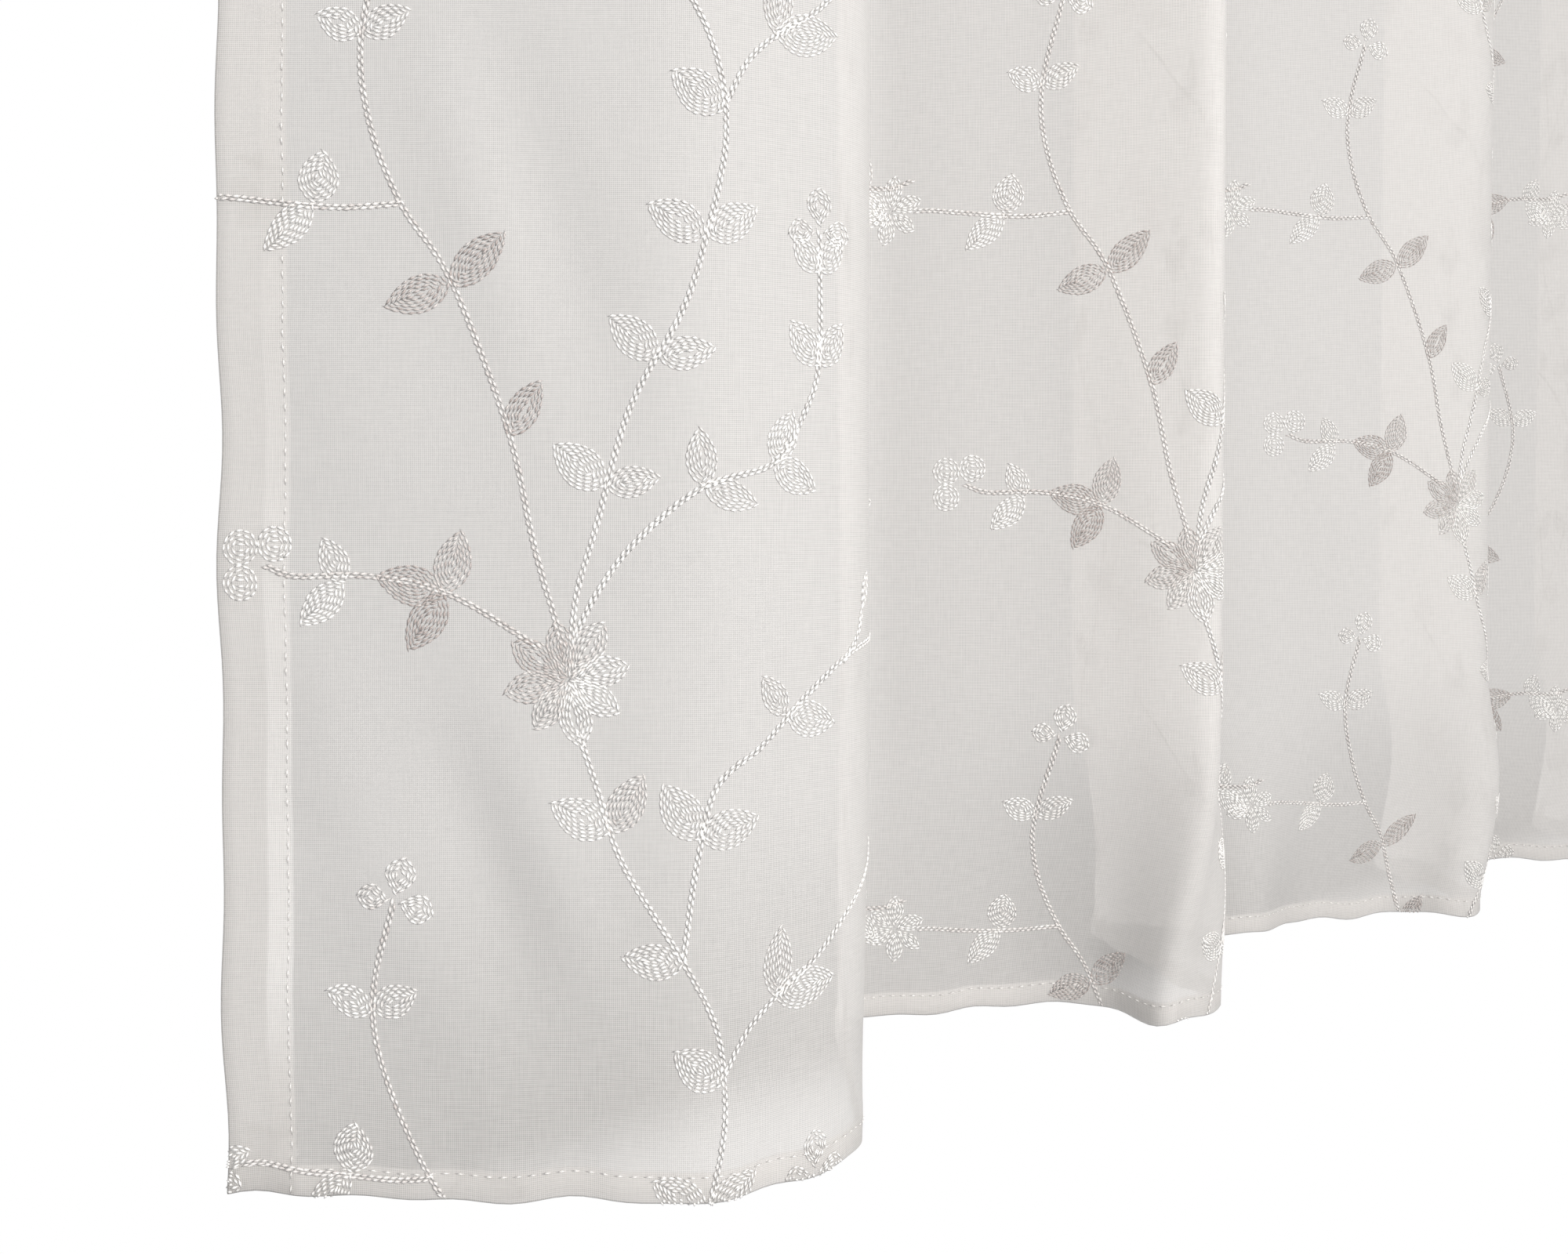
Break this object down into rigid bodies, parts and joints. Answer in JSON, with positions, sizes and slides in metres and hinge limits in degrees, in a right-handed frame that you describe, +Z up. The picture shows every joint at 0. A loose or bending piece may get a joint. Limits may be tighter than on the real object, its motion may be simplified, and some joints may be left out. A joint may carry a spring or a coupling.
{
  "type": "sheer curtain panel",
  "caption": "Sheer curtain panel with turned hems on all edges, hanging from its top edge in deep uneven folds.",
  "frame": {"origin": "middle of the top edge, in line with the rail or rod that would hold it", "axes": "+Z up, +X along the rail, -Y towards the room and the front of the curtain"},
  "size_m": [0.9938, 0.1428, 2.4516],
  "materials": {
    "voile": "sheer off-white plain-weave voile with lustrous off-white chain-stitch vines"
  },
  "bodies": {
    "root": {"curtain_panel": "voile"}
  },
  "joints": []
}
